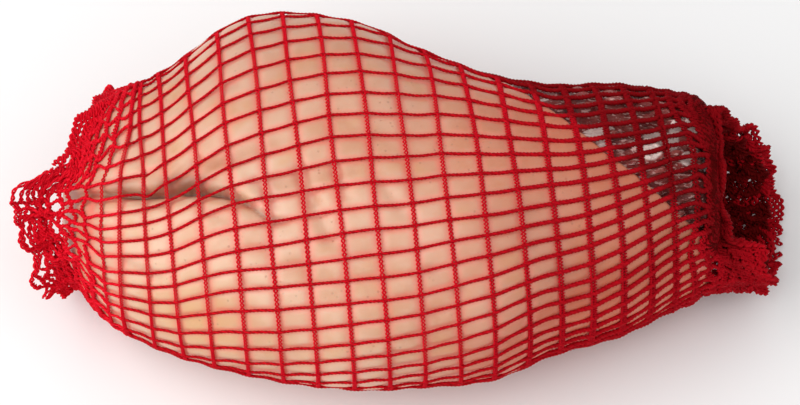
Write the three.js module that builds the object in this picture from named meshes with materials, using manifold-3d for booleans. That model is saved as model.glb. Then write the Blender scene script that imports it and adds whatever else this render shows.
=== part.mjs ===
// A salted pork hock in its stretched knitted net, lying on its broad side.
// Millimetres, +Z up. X runs along the hock, from the folded shank end (-) to the cut
// lean end (+). The origin is under the middle, on the surface that the hock lies on.
//
// Two solids: the hock, with its rind cut off aslant and the lean meat standing out of
// it, and the net, a lattice of hoops and lengthwise threads that ends in a ruffled
// bunch at both ends. Both are worked out from one smooth body surface(x, u), where x
// is the place along the hock and u, from 0 to 1, the share of the way round it:
// 0 is underneath, 1/4 the front (-Y), 1/2 the top and 3/4 the back (+Y).

import * as THREE from "three";
import { mergeVertices } from "three/addons/utils/BufferGeometryUtils.js";
import Module from "manifold-3d";

const wasm = await Module();
wasm.setup();

const TURN = 2 * Math.PI;

// ---- the hock's body

// Sections along the hock: place, sideways shift of the middle, half width, half height.
const STATIONS = [
  { x: -110, shift: 5.4, halfWidth: 23.8, halfHeight: 25 },
  { x: -94, shift: 1.1, halfWidth: 36.1, halfHeight: 32 },
  { x: -74, shift: -0.5, halfWidth: 47.2, halfHeight: 36 },
  { x: -53, shift: 2.6, halfWidth: 58.9, halfHeight: 40 },
  { x: -33, shift: 1.5, halfWidth: 62.5, halfHeight: 41 },
  { x: -12, shift: -2, halfWidth: 61.2, halfHeight: 41.5 },
  { x: 8, shift: -6.4, halfWidth: 55.4, halfHeight: 41 },
  { x: 29, shift: -9.1, halfWidth: 49.5, halfHeight: 40 },
  { x: 49, shift: -5.5, halfWidth: 43.2, halfHeight: 38 },
  { x: 70, shift: -1.1, halfWidth: 40.2, halfHeight: 36 },
  { x: 90, shift: 4.1, halfWidth: 33.6, halfHeight: 32.5 },
  { x: 103, shift: 6, halfWidth: 30, halfHeight: 30 },
];
const SHANK_CAP = { start: -83, pole: -109, power: 3 };
const LEAN_CAP = { start: 92, pole: 103, power: 2.6 };
const SINK = 3; // how far the round underside is pressed flat by its weight

// ---- the net

const THREAD_GAP = 0.55; // between the hock and the threads
const BUNCH_GAP = 0.9; // between the hock's ends and the bunches
const BUNCH_SKIN = 1.5; // of a bunch, where it lies on the hock's end
const THREAD_HEIGHT = 1.15;
const THREAD_REACH = THREAD_GAP + THREAD_HEIGHT;
const HOOP_HALF_WIDTH = 1.0;
const LENGTHWISE_HALF_WIDTH = 0.7;
const LENGTHWISE_THREADS = 42;
const HOOPS = 18;
const HOOP_MIDDLE = -4; // place of the middle of the row of hoops
const HOOP_REACH = 86.7; // from there to the first and the last hoop
const HOOP_CROWDING = 0.77; // how much closer the hoops stand towards the ends
const HOOP_SLIP = { from: -70, over: 20, by: 4.2 }; // the shank end's hoops have slipped back
const HOOP_SLANT = 0.11; // a hoop's lean towards the shank end at the back
const SLANT_ROOM = { shank: [-87, -73], lean: [103, 83] }; // no lean at the first place, all at the second
// The threads stand closer at the front than on top: by at most swing / 42 of the turn.
const THREAD_SPREAD = { shift: 0.5, swing: 1.14, at: 0.26 };
// The threads also drift round the hock as they run along it, in spacings between two
// threads, for the threads that are low at the front, up to those on top, at x = 20.
const DRIFT_AT = { low: 0.293, front: 0.374, middle: 0.462, upper: 0.557, top: 0.638 };
const THREAD_DRIFT = [
  { x: -105, low: -5, front: -4.3, middle: -4.7, upper: -5.3, top: -5.5 },
  { x: -80, low: -3.8, front: -3.2, middle: -3.7, upper: -4.5, top: -4.7 },
  { x: -60, low: -2.6, front: -2.3, middle: -2.8, upper: -3.5, top: -3.5 },
  { x: -40, low: -1.8, front: -1.8, middle: -2.2, upper: -2.5, top: -2.5 },
  { x: -20, low: -1.1, front: -1.3, middle: -1.5, upper: -1.5, top: -1.6 },
  { x: 0, low: -0.7, front: -0.8, middle: -0.8, upper: -0.8, top: -0.8 },
  { x: 20, low: 0, front: 0, middle: 0, upper: 0, top: 0 },
  { x: 35, low: 0.5, front: 0.4, middle: 0.3, upper: 0.1, top: 0 },
  { x: 52, low: 0.45, front: 0.5, middle: 0.3, upper: -0.35, top: -1.1 },
  { x: 66, low: 1.1, front: 1, middle: 0.5, upper: -0.35, top: -0.9 },
  { x: 80, low: 2, front: 1.6, middle: 0.9, upper: 0, top: -0.5 },
  { x: 104, low: 3, front: 2.6, middle: 2.1, upper: 1.3, top: 0.9 },
];

// ---- the hock's own relief

const RIND_THICKNESS = 3;
const RIND_CUT = { normal: new THREE.Vector3(0.633, 0.755, 0.173), distance: 52.9 };
const CREASE = { u: 18.5 / LENGTHWISE_THREADS, from: -108, to: -30, depth: 6 };
const LEAN_SIDES = 28;
const LEAN_INSET = 0.9; // of the lean meat, away from the rind's edge
const LEAN_LUMP = 1.1;

// ---- the loose ends of the net, each a ruffled bunch in front of the hock's end
//
// The rim of a bunch is a wavy ring: at the share u of the turn it stands at x, and at
// the radius r from the bunch's own middle line.
const SHANK_BUNCH = {
  rim: [
    { u: 0, x: -113, r: 27 },
    { u: 0.1, x: -113, r: 27.5 },
    { u: 0.17, x: -111, r: 29 },
    { u: 0.23, x: -114, r: 30 },
    { u: 0.335, x: -116, r: 26.5 },
    { u: 0.38, x: -122.5, r: 24.5 },
    { u: 0.43, x: -124, r: 25 },
    { u: 0.475, x: -115, r: 25 },
    { u: 0.52, x: -105, r: 27 },
    { u: 0.58, x: -103.5, r: 30 },
    { u: 0.64, x: -98.5, r: 35.5 },
    { u: 0.7, x: -94, r: 39 },
    { u: 0.78, x: -102, r: 34 },
    { u: 0.88, x: -112, r: 28 },
  ],
  shift: 2.5,
  height: 30,
  waves: 9,
  waveDepth: 1.6,
  neck: 0.83,
  dishPlace: -105.5,
};
const LEAN_BUNCH = {
  rim: [
    { u: 0.05, x: 125, r: 27 },
    { u: 0.17, x: 122, r: 27.5 },
    { u: 0.25, x: 121.5, r: 27 },
    { u: 0.33, x: 113, r: 26 },
    { u: 0.41, x: 106.5, r: 25.5 },
    { u: 0.52, x: 106.5, r: 26 },
    { u: 0.6, x: 103, r: 32 },
    { u: 0.67, x: 110, r: 23 },
    { u: 0.75, x: 118, r: 20.5 },
    { u: 0.85, x: 125, r: 25.5 },
    { u: 0.95, x: 126.5, r: 27 },
  ],
  shift: 4.5,
  height: 30,
  waves: 8,
  waveDepth: 1.6,
  neck: 0.87,
  dishPlace: 101.5,
};

// A smooth curve through the rows of a table: cubic pieces that share their slopes.
function curveValue(rows, x, key) {
  const last = rows.length - 1;
  let k = 0;
  while (k < last - 1 && x > rows[k + 1].x) k += 1;
  const slope = (n) => {
    const before = rows[Math.max(n - 1, 0)];
    const after = rows[Math.min(n + 1, last)];
    return (after[key] - before[key]) / (after.x - before.x);
  };
  const [a, b] = [rows[k], rows[k + 1]];
  const step = b.x - a.x;
  const t = THREE.MathUtils.clamp((x - a.x) / step, 0, 1);
  const rise = t * t * (3 - 2 * t);
  return (
    a[key] * (1 - rise) +
    b[key] * rise +
    step * t * (1 - t) * (slope(k) * (1 - t) - slope(k + 1) * t)
  );
}

const stationValue = (x, key) => curveValue(STATIONS, x, key);

// 1 along the body, falling to 0 in a rounded end.
function capFactor(x) {
  const cap = x < 0 ? SHANK_CAP : LEAN_CAP;
  const t = (x - cap.start) / (cap.pole - cap.start);
  if (t <= 0) return 1;
  return Math.pow(Math.max(1 - Math.pow(Math.min(t, 1), cap.power), 0), 1 / cap.power);
}

// The angle round an ellipse at the share u of its length, to the first order.
function turnAt(u, halfWidth, halfHeight) {
  const [w, h] = [halfWidth ** 2, halfHeight ** 2];
  return TURN * u - ((w - h) / (4 * (w + h))) * Math.sin(2 * TURN * u);
}

// A point of the body's surface, drawn in by inset. The underside is flat.
function surface(x, u, inset = 0) {
  const halfWidth = stationValue(x, "halfWidth");
  const halfHeight = stationValue(x, "halfHeight");
  const angle = turnAt(u, halfWidth, halfHeight);
  const cap = capFactor(x);
  const middle = THREAD_REACH - SINK + halfHeight;
  return new THREE.Vector3(
    x,
    stationValue(x, "shift") - (halfWidth - inset) * cap * Math.sin(angle),
    Math.max(middle - (halfHeight - inset) * cap * Math.cos(angle), THREAD_REACH + inset),
  );
}

// The surface's outward direction, straight down where it is pressed flat.
function outward(x, u) {
  const here = surface(x, u);
  if (here.z < THREAD_REACH + 1e-3) return new THREE.Vector3(0, 0, -1);
  const [dx, du] = [0.5, 0.002];
  const along = surface(x + dx, u).sub(surface(x - dx, u));
  const round = surface(x, u + du).sub(surface(x, u - du));
  return along.cross(round).normalize();
}

// ---- the places of hoops, rings and threads

function hoopPlace(i) {
  const t = -1 + (2 * i) / (HOOPS - 1);
  const even = HOOP_MIDDLE + (HOOP_REACH * Math.sin(HOOP_CROWDING * t)) / Math.sin(HOOP_CROWDING);
  return even + HOOP_SLIP.by * THREE.MathUtils.smoothstep((HOOP_SLIP.from - even) / HOOP_SLIP.over, 0, 1);
}

// Where a hoop that stands at x crosses the share u: it leans, less so near the ends.
function leaning(x, u) {
  const halfWidth = stationValue(x, "halfWidth");
  const angle = turnAt(u, halfWidth, stationValue(x, "halfHeight"));
  const { shank, lean } = SLANT_ROOM;
  const share = ([none, all]) => THREE.MathUtils.clamp((x - none) / (all - none), 0, 1);
  return x + HOOP_SLANT * halfWidth * Math.sin(angle) * share(shank) * share(lean);
}

const SHANK_RINGS = [-106.8, -99.5];
const LEAN_RINGS = [94.5, 99.5, 102.2];
const hoopPlaces = Array.from({ length: HOOPS }, (_, i) => hoopPlace(i));
const evenShares = Array.from({ length: LENGTHWISE_THREADS }, (_, j) => j / LENGTHWISE_THREADS);

// The share of the turn at which lengthwise thread j crosses the place x.
function threadShare(j, x) {
  const { shift, swing, at } = THREAD_SPREAD;
  const start = (j + shift - swing * Math.sin(TURN * (j / LENGTHWISE_THREADS - at))) / LENGTHWISE_THREADS;
  const names = Object.keys(DRIFT_AT);
  const whole = start - Math.floor(start - DRIFT_AT.low);
  const k = names.findLastIndex((name) => DRIFT_AT[name] <= whole);
  const [near, far] = [names[k], names[(k + 1) % names.length]];
  const farAt = k + 1 < names.length ? DRIFT_AT[far] : DRIFT_AT.low + 1;
  const step = THREE.MathUtils.smoothstep(whole, DRIFT_AT[near], farAt);
  const drift = curveValue(THREAD_DRIFT, x, near) * (1 - step) + curveValue(THREAD_DRIFT, x, far) * step;
  return start + drift / LENGTHWISE_THREADS;
}

const threadSharesAt = (x) => evenShares.map((_, j) => threadShare(j, x));

// ---- meshes from points and triangles

class MeshBuilder {
  constructor() {
    this.positions = [];
    this.triangles = [];
  }
  point(p) {
    this.positions.push(p.x, p.y, p.z);
    return this.positions.length / 3 - 1;
  }
  triangle(a, b, c) {
    this.triangles.push(a, b, c);
  }
  quad(a, b, c, d) {
    this.triangle(a, b, c);
    this.triangle(a, c, d);
  }
  // Joins two closed rings of equally many points.
  band(near, far) {
    near.forEach((a, j) => {
      const next = (j + 1) % near.length;
      this.quad(a, near[next], far[next], far[j]);
    });
  }
  // Closes a ring on one point, turning the same way as band() does.
  fan(ring, pole) {
    ring.forEach((a, j) => this.triangle(a, ring[(j + 1) % ring.length], pole));
  }
  geometry() {
    return new THREE.BufferGeometry()
      .setAttribute("position", new THREE.Float32BufferAttribute(this.positions, 3))
      .setIndex(this.triangles);
  }
}

function toManifold(geometry) {
  const bare = geometry.clone();
  bare.deleteAttribute("normal");
  bare.deleteAttribute("uv");
  const merged = mergeVertices(bare, 1e-4);
  return new wasm.Manifold(
    new wasm.Mesh({
      numProp: 3,
      vertProperties: new Float32Array(merged.attributes.position.array),
      triVerts: new Uint32Array(merged.index.array),
    }),
  );
}

function fromManifold(solid) {
  const mesh = solid.getMesh();
  return new THREE.BufferGeometry()
    .setAttribute("position", new THREE.BufferAttribute(mesh.vertProperties, 3))
    .setIndex(new THREE.BufferAttribute(mesh.triVerts, 1));
}

// A closed body from rings that run from the shank end to the lean end.
function ringBody(startPole, rings, endPole) {
  const builder = new MeshBuilder();
  const indexed = rings.map((ring) => ring.map((p) => builder.point(p)));
  builder.fan([...indexed[0]], builder.point(startPole));
  for (let k = 1; k < indexed.length; k += 1) builder.band(indexed[k], indexed[k - 1]);
  builder.fan([...indexed.at(-1)].reverse(), builder.point(endPole));
  return builder.geometry();
}

// ---- the hock

// How far the skin folds in along the crease: a groove that fades towards its end.
function creaseDepth(x, u) {
  const along = THREE.MathUtils.clamp((CREASE.to - x) / (CREASE.to - CREASE.from), 0, 1);
  const across = Math.max(1 - Math.abs(u - CREASE.u) * LENGTHWISE_THREADS * 2, 0);
  return CREASE.depth * Math.sqrt(along) * across;
}

function rindBody() {
  const shares = [...evenShares, CREASE.u].sort((a, b) => a - b);
  const ring = (x) =>
    shares.map((u) => {
      const place = leaning(x, u);
      return surface(place, u, creaseDepth(place, u));
    });
  const rings = [...SHANK_RINGS, ...hoopPlaces, ...LEAN_RINGS].map(ring);
  return ringBody(surface(SHANK_CAP.pole, 0), rings, surface(LEAN_CAP.pole, 0));
}

// The lean meat: a rind's thickness down beside its edge, fuller away from it, uneven.
function leanBody() {
  const shares = Array.from({ length: LEAN_SIDES }, (_, j) => j / LEAN_SIDES);
  const normal = RIND_CUT.normal.clone().normalize();
  const inset = (x, u) => {
    const beyond = surface(x, u).dot(normal) - RIND_CUT.distance;
    const full = THREE.MathUtils.smoothstep(beyond, 0, 9);
    const lump = LEAN_LUMP * (1 + Math.sin(0.21 * x + 9 * TURN * u) * Math.cos(0.13 * x - 2 * TURN * u));
    return RIND_THICKNESS + (LEAN_INSET - RIND_THICKNESS) * full + lump;
  };
  const ring = (x) => shares.map((u) => surface(x, u, inset(x, u)));
  const places = [14, 30, 45, 60, 72, 83, 93, 98.5];
  return ringBody(surface(places[0] - 2, 0.25, 20), places.map(ring), surface(LEAN_CAP.pole - 1.5, 0));
}

// Everything on the shank side of the slanting cut, as one large turned box.
function shankSideOfCut() {
  const size = 600;
  const box = new THREE.BoxGeometry(size, size, size);
  box.translate(0, 0, -size / 2);
  const turn = new THREE.Quaternion().setFromUnitVectors(
    new THREE.Vector3(0, 0, 1),
    RIND_CUT.normal.clone().normalize(),
  );
  box.applyQuaternion(turn);
  const foot = RIND_CUT.normal.clone().normalize().multiplyScalar(RIND_CUT.distance);
  box.translate(foot.x, foot.y, foot.z);
  return toManifold(box);
}

function hockGeometry() {
  const rind = toManifold(rindBody()).intersect(shankSideOfCut());
  return fromManifold(rind.add(toManifold(leanBody())));
}

// ---- the net

// One crossing: the ridge on top and the four corners of its foot.
function crossing(builder, x, u) {
  const place = leaning(x, u);
  const top = surface(place, u).addScaledVector(outward(place, u), THREAD_REACH);
  const around = Math.hypot(stationValue(x, "halfWidth"), stationValue(x, "halfHeight")) / Math.SQRT2;
  const half = LENGTHWISE_HALF_WIDTH / (TURN * around * capFactor(x));
  const corner = (sx, su) => {
    const [cx, cu] = [place + sx * HOOP_HALF_WIDTH, u + su * half];
    return builder.point(surface(cx, cu).addScaledVector(outward(cx, cu), THREAD_GAP));
  };
  return {
    ridge: builder.point(top),
    foot: { "-": { "-": corner(-1, -1), "+": corner(-1, 1) }, "+": { "-": corner(1, -1), "+": corner(1, 1) } },
  };
}

// A stretch of hoop from one crossing to the next one round. An end hoop is open on
// the side where the bunch carries on from it.
function hoopStretch(builder, a, b, openSide) {
  if (openSide !== "-") builder.quad(a.ridge, b.ridge, b.foot["-"]["-"], a.foot["-"]["+"]);
  if (openSide !== "+") builder.quad(a.ridge, a.foot["+"]["+"], b.foot["+"]["-"], b.ridge);
  builder.quad(a.foot["-"]["+"], b.foot["-"]["-"], b.foot["+"]["-"], a.foot["+"]["+"]);
}

// A stretch of lengthwise thread from one hoop to the next.
function lengthwiseStretch(builder, a, b) {
  builder.quad(a.ridge, a.foot["+"]["-"], b.foot["-"]["-"], b.ridge);
  builder.quad(a.ridge, b.ridge, b.foot["-"]["+"], a.foot["+"]["+"]);
  builder.quad(a.foot["+"]["-"], a.foot["+"]["+"], b.foot["-"]["+"], b.foot["-"]["-"]);
}

// Where a bunch's rim stands at the share u: a smooth step between its named places.
function rimAt(bunch, share) {
  const { rim } = bunch;
  const u = share - Math.floor(share);
  const after = rim.findIndex((place) => place.u > u);
  const b = after < 0 ? { ...rim[0], u: rim[0].u + 1 } : rim[after];
  const a = after === 0 ? { ...rim.at(-1), u: rim.at(-1).u - 1 } : after < 0 ? rim.at(-1) : rim[after - 1];
  const step = THREE.MathUtils.smoothstep(u, a.u, b.u);
  return { x: a.x + (b.x - a.x) * step, r: a.r + (b.r - a.r) * step };
}

// A point moved outward, round the hock, until it stands off the hock by lift.
function clearOfHock(point, lift) {
  if (point.x <= SHANK_CAP.pole || point.x >= LEAN_CAP.pole) return point;
  const [halfWidth, halfHeight] = [stationValue(point.x, "halfWidth"), stationValue(point.x, "halfHeight")];
  const middle = new THREE.Vector3(point.x, stationValue(point.x, "shift"), THREAD_REACH - SINK + halfHeight);
  const cap = capFactor(point.x);
  const off = point.clone().sub(middle);
  const share = Math.hypot(off.y / halfWidth, off.z / halfHeight) / cap;
  const wanted = 1 + lift / (Math.sqrt(halfWidth * halfHeight) * cap);
  return middle.addScaledVector(off, Math.max(wanted / share, 1));
}

// A point of a bunch's outer side: t runs from the end hoop, 0, to the rim, 1.
function bunchPoint(bunch, start, u, t) {
  const wave = Math.sin(TURN * bunch.waves * u) * bunch.waveDepth * t * t;
  const place = rimAt(bunch, u);
  const radius = place.r + wave;
  const rim = new THREE.Vector3(
    place.x + 0.4 * wave,
    bunch.shift - radius * Math.sin(TURN * u),
    bunch.height - radius * Math.cos(TURN * u),
  );
  const neck = new THREE.Vector3(
    (start.x + rim.x) / 2,
    bunch.shift + (start.y - bunch.shift) * bunch.neck,
    bunch.height + (start.z - bunch.height) * bunch.neck,
  );
  const curve = new THREE.QuadraticBezierCurve3(start, neck, rim);
  const point = clearOfHock(curve.getPoint(t), BUNCH_GAP + BUNCH_SKIN);
  point.z = Math.max(point.z, 0);
  return point;
}

// The bunch that closes the net at one end: its outer side runs from the end hoop's
// ridge to the rim and back down to the hock's end, its inner side follows the hock.
function addBunch(builder, bunch, crossings, shares, capRings, pole, side) {
  const ridge = crossings.map((c) => c.ridge);
  const starts = ridge.map((k) => new THREE.Vector3().fromArray(builder.positions, 3 * k));
  const outerRing = (t) => starts.map((s, j) => builder.point(bunchPoint(bunch, s, shares[j], t)));
  const rimSteps = [0.3, 0.6, 0.85, 1];
  const outer = [ridge, ...rimSteps.map(outerRing)];
  const dish = shares.map((u) => {
    const lift = BUNCH_GAP + BUNCH_SKIN;
    return builder.point(surface(bunch.dishPlace, u).addScaledVector(outward(bunch.dishPlace, u), lift));
  });
  outer.push(dish);
  const inner = capRings.map((x) =>
    shares.map((u) => {
      const place = leaning(x, u);
      return builder.point(surface(place, u).addScaledVector(outward(place, u), BUNCH_GAP));
    }),
  );
  const sign = side === "+" ? 1 : -1;
  const above = (lift) => builder.point(pole.clone().add(new THREE.Vector3(sign * lift, 0, 0)));
  const [dishPole, innerPole] = [above(BUNCH_GAP + BUNCH_SKIN), above(BUNCH_GAP)];
  const facing = (a, b) => (side === "+" ? builder.band(b, a) : builder.band(a, b));
  const turned = (ring) => (side === "+" ? [...ring].reverse() : ring);
  for (let k = 1; k < outer.length; k += 1) facing(outer[k - 1], outer[k]);
  builder.fan(turned(dish), dishPole);
  // The end hoop's foot has two corners at each thread, the ring inside has one point.
  crossings.forEach((c, j) => {
    const next = (j + 1) % crossings.length;
    const [left, right] = [c.foot[side]["-"], c.foot[side]["+"]];
    const across = crossings[next].foot[side]["-"];
    if (side === "+") {
      builder.triangle(left, right, inner[0][j]);
      builder.quad(right, across, inner[0][next], inner[0][j]);
    } else {
      builder.triangle(left, inner[0][j], right);
      builder.quad(right, inner[0][j], inner[0][next], across);
    }
  });
  for (let k = 1; k < inner.length; k += 1) facing(inner[k], inner[k - 1]);
  builder.fan(turned([...inner.at(-1)].reverse()), innerPole);
}

function netGeometry() {
  const builder = new MeshBuilder();
  const rows = hoopPlaces.map((x) => threadSharesAt(x).map((u) => crossing(builder, x, u)));
  rows.forEach((row, i) => {
    const openSide = i === 0 ? "-" : i === HOOPS - 1 ? "+" : null;
    row.forEach((here, j) => {
      const next = row[(j + 1) % LENGTHWISE_THREADS];
      hoopStretch(builder, here, next, openSide);
      const { foot } = here;
      builder.quad(foot["-"]["-"], foot["-"]["+"], foot["+"]["+"], foot["+"]["-"]);
      if (i + 1 < HOOPS) lengthwiseStretch(builder, here, rows[i + 1][j]);
    });
  });
  const [shankPole, leanPole] = [surface(SHANK_CAP.pole, 0), surface(LEAN_CAP.pole, 0)];
  const [first, last] = [threadSharesAt(hoopPlaces[0]), threadSharesAt(hoopPlaces.at(-1))];
  addBunch(builder, SHANK_BUNCH, rows[0], first, [...SHANK_RINGS].reverse(), shankPole, "-");
  addBunch(builder, LEAN_BUNCH, rows.at(-1), last, LEAN_RINGS, leanPole, "+");
  return builder.geometry();
}

// ---- finish and assembly

const rindFinish = new THREE.MeshStandardMaterial({ color: "#e2ab88", roughness: 0.5, metalness: 0 });
const yarnFinish = new THREE.MeshStandardMaterial({ color: "#c8102a", roughness: 0.75, metalness: 0 });

function named(name, geometry, material) {
  const mesh = new THREE.Mesh(geometry, material);
  mesh.name = name;
  return mesh;
}

const group = new THREE.Group();
group.add(named("hock", hockGeometry(), rindFinish));
group.add(named("net", netGeometry(), yarnFinish));

export default group;
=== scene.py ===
"""Looks of a salted pork hock in a stretched knitted net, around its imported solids.

The hock is drawn as a creased rind, cut off aslant, with the lean meat standing out of it.
The net is drawn thread by thread: knitted hoops of two strands, twisted lengthwise threads,
and a ruffled loose end at both ends of the hock. Lengths are in millimetres until a mesh is
made, where they become metres. Places on the body are given by x, along the hock, and u,
the share of the way round it: 0 underneath, 1/4 at the front, 1/2 on top, 3/4 at the back.
"""

import bpy
import numpy as np
from bpy.props import FloatProperty, FloatVectorProperty, IntProperty, PointerProperty
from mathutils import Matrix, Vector


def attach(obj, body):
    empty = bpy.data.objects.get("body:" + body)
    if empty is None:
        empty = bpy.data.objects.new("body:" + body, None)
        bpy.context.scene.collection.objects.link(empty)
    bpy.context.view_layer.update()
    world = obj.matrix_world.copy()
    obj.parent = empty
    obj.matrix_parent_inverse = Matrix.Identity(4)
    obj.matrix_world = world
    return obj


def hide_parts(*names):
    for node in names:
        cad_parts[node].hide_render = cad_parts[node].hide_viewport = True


bl_info = {
    "name": "Netted pork hock",
    "version": (1, 0, 0),
    "blender": (4, 5, 0),
    "location": "View3D > Sidebar > Hock",
    "description": "Rind, lean meat and knitted net of a salted pork hock",
    "category": "Object",
}

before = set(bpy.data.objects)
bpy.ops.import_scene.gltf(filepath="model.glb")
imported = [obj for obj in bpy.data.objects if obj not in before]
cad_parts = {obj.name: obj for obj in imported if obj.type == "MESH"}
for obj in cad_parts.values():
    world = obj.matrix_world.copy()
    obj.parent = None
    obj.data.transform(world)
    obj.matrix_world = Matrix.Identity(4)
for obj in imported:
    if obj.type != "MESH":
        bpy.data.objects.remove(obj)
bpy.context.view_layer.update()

TAU = 2 * np.pi
MM = 0.001

# ---- the body, with the same named sizes as its solids

# place along the hock, sideways shift of the middle, half width, half height
STATIONS = np.array([
    (-110, 5.4, 23.8, 25), (-94, 1.1, 36.1, 32), (-74, -0.5, 47.2, 36), (-53, 2.6, 58.9, 40),
    (-33, 1.5, 62.5, 41), (-12, -2, 61.2, 41.5), (8, -6.4, 55.4, 41), (29, -9.1, 49.5, 40),
    (49, -5.5, 43.2, 38), (70, -1.1, 40.2, 36), (90, 4.1, 33.6, 32.5), (103, 6, 30, 30),
], float)
# The rounded ends: where each starts, its pole, and how square it is.
SHANK_START, SHANK_POLE, SHANK_POWER = -83.0, -109.0, 3.0
LEAN_START, LEAN_POLE, LEAN_POWER = 92.0, 103.0, 2.6
NET_ROOM = 1.7  # from the hock's underside to the floor, for the threads under it
SINK = 3.0  # how far the round underside is pressed flat
RIND_REST, LEAN_REST = 0.9, 1.2  # lowest heights of the rind and of the lean meat
# Where the two skins close inside the hock, and the tip of the lean meat.
RIND_CLOSE, LEAN_CLOSE = np.array([55.0, -4.0, 36.0]), np.array([30.0, -4.0, 36.0])
LEAN_TIP = np.array([101.0, 6.0, 29.0])
THREADS = 42
HOOPS = 18
HOOP_MIDDLE, HOOP_REACH, HOOP_CROWDING = -4, 86.7, 0.77
HOOP_SLIP_FROM, HOOP_SLIP_OVER, HOOP_SLIP = -70, 20, 4.2
HOOP_SLANT = 0.11
SLANT_ROOM = np.array([[-87, -73], [103, 83]], float)  # places of no lean and of all of it
# The threads stand closer at the front than on top, and they drift round the hock as they
# run along it: place, and the drift in spacings between two threads for the threads that
# are at DRIFT_AT of the turn at x = 20.
THREAD_SHIFT, THREAD_SWING, THREAD_SWING_AT = 0.5, 1.14, 0.26
DRIFT_AT = np.array([0.293, 0.374, 0.462, 0.557, 0.638])
THREAD_DRIFT = np.array([
    (-105, -5, -4.3, -4.7, -5.3, -5.5), (-80, -3.8, -3.2, -3.7, -4.5, -4.7),
    (-60, -2.6, -2.3, -2.8, -3.5, -3.5), (-40, -1.8, -1.8, -2.2, -2.5, -2.5),
    (-20, -1.1, -1.3, -1.5, -1.5, -1.6), (0, -0.7, -0.8, -0.8, -0.8, -0.8), (20, 0, 0, 0, 0, 0),
    (35, 0.5, 0.4, 0.3, 0.1, 0), (52, 0.45, 0.5, 0.3, -0.35, -1.1), (66, 1.1, 1, 0.5, -0.35, -0.9),
    (80, 2, 1.6, 0.9, 0, -0.5), (104, 3, 2.6, 2.1, 1.3, 0.9),
])
RIND_CUT = np.array([0.633, 0.755, 0.173]) / np.linalg.norm([0.633, 0.755, 0.173])
RIND_CUT_DISTANCE = 52.9
LAST = HOOPS - 1


def smooth(t):
    """A step from 0 to 1 with level ends: 3 t squared minus 2 t cubed."""
    t = np.clip(t, 0, 1)
    return t * t * (3 - 2 * t)


def wave(turns, u, shift=0.0):
    return np.sin(TAU * turns * u + shift)


def bell(distance, width, power=2):
    """A bell of height 1: e raised to minus the square, or another power, of the distance
    over the width."""
    return np.exp(-((distance / width) ** power))


def curve(table, x, column):
    """The smooth curve through one column of a table: cubic pieces with shared slopes."""
    places, values = table[:, 0], table[:, column]
    before = np.maximum(np.arange(len(places)) - 1, 0)
    after = np.minimum(np.arange(len(places)) + 1, len(places) - 1)
    slopes = (values[after] - values[before]) / (places[after] - places[before])
    k = np.clip(np.searchsorted(places, x) - 1, 0, len(places) - 2)
    step = places[k + 1] - places[k]
    t = np.clip((x - places[k]) / step, 0, 1)
    rise = smooth(t)
    bend = step * t * (1 - t) * (slopes[k] * (1 - t) - slopes[k + 1] * t)
    return values[k] * (1 - rise) + values[k + 1] * rise + bend


def station(x, column):
    """One measure of the body's section at x."""
    return curve(STATIONS, x, column)


def cap_factor(x):
    """1 along the body, falling to 0 over a rounded end: (1 - t^p)^(1/p)."""
    shank = np.asarray(x) < 0
    start = np.where(shank, SHANK_START, LEAN_START)
    pole = np.where(shank, SHANK_POLE, LEAN_POLE)
    power = np.where(shank, SHANK_POWER, LEAN_POWER)
    t = np.clip((x - start) / (pole - start), 0, 1)
    return (1 - t**power) ** (1 / power)


def turn_at(u, half_width, half_height):
    """The angle round an ellipse at the share u of its length, to the first order."""
    w, h = half_width**2, half_height**2
    return TAU * u - (w - h) / (4 * (w + h)) * np.sin(2 * TAU * u)


def surface(x, u, inset=0.0):
    """The body: an ellipse at each x, drawn in by inset and pressed flat underneath."""
    half_width, half_height = station(x, 2), station(x, 3)
    angle = turn_at(u, half_width, half_height)
    cap = cap_factor(x)
    y = station(x, 1) - (half_width - inset) * cap * np.sin(angle)
    z = NET_ROOM - SINK + half_height - (half_height - inset) * cap * np.cos(angle)
    return np.stack([x + 0 * u, y + 0 * u, np.maximum(z, NET_ROOM + inset)], -1)


def unit(v):
    return v / np.maximum(np.linalg.norm(v, axis=-1, keepdims=True), 1e-9)


def outward(x, u):
    """The body's outward direction: along the hock crossed with round it."""
    x = np.clip(x, SHANK_POLE + 0.3, LEAN_POLE - 0.3)
    along = surface(x + 0.25, u) - surface(x - 0.25, u)
    around = surface(x, u + 0.001) - surface(x, u - 0.001)
    return unit(np.cross(along, around))


def girth(x):
    """Roughly the way round the body at x."""
    half = np.hypot(station(x, 2), station(x, 3)) / np.sqrt(2)
    return TAU * half * np.maximum(cap_factor(x), 0.05)


def hoop_place(a):
    """Where hoop number a stands: crowding towards both ends, as a sine does."""
    t = -1 + 2 * a / LAST
    even = HOOP_MIDDLE + HOOP_REACH * np.sin(HOOP_CROWDING * t) / np.sin(HOOP_CROWDING)
    return even + HOOP_SLIP * smooth((HOOP_SLIP_FROM - even) / HOOP_SLIP_OVER)


def behind(u):
    """1 on the side that is turned away from the front, above and behind the fold."""
    return smooth((u % 1 - 0.47) / 0.08) * smooth((0.9 - u % 1) / 0.15)


def slant(x, u):
    """How far a hoop leans along the hock at the share u, less near the ends. Behind the
    fold the two first hoops have slipped together."""
    angle = turn_at(u, station(x, 2), station(x, 3))
    room = np.clip([(x - none) / (full - none) for none, full in SLANT_ROOM], 0, 1)
    room = room[0] * room[1]
    wander = 0.16 * wave(3, u, 0.21 * x) + 0.12 * wave(5, u, -0.37 * x)
    slipped = behind(u) * np.interp(x, [-100, -86.5, -79.5, -73], [0, 2.2, -1.2, 0])
    return (HOOP_SLANT * station(x, 2) * np.sin(angle) + wander) * room + slipped


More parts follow.
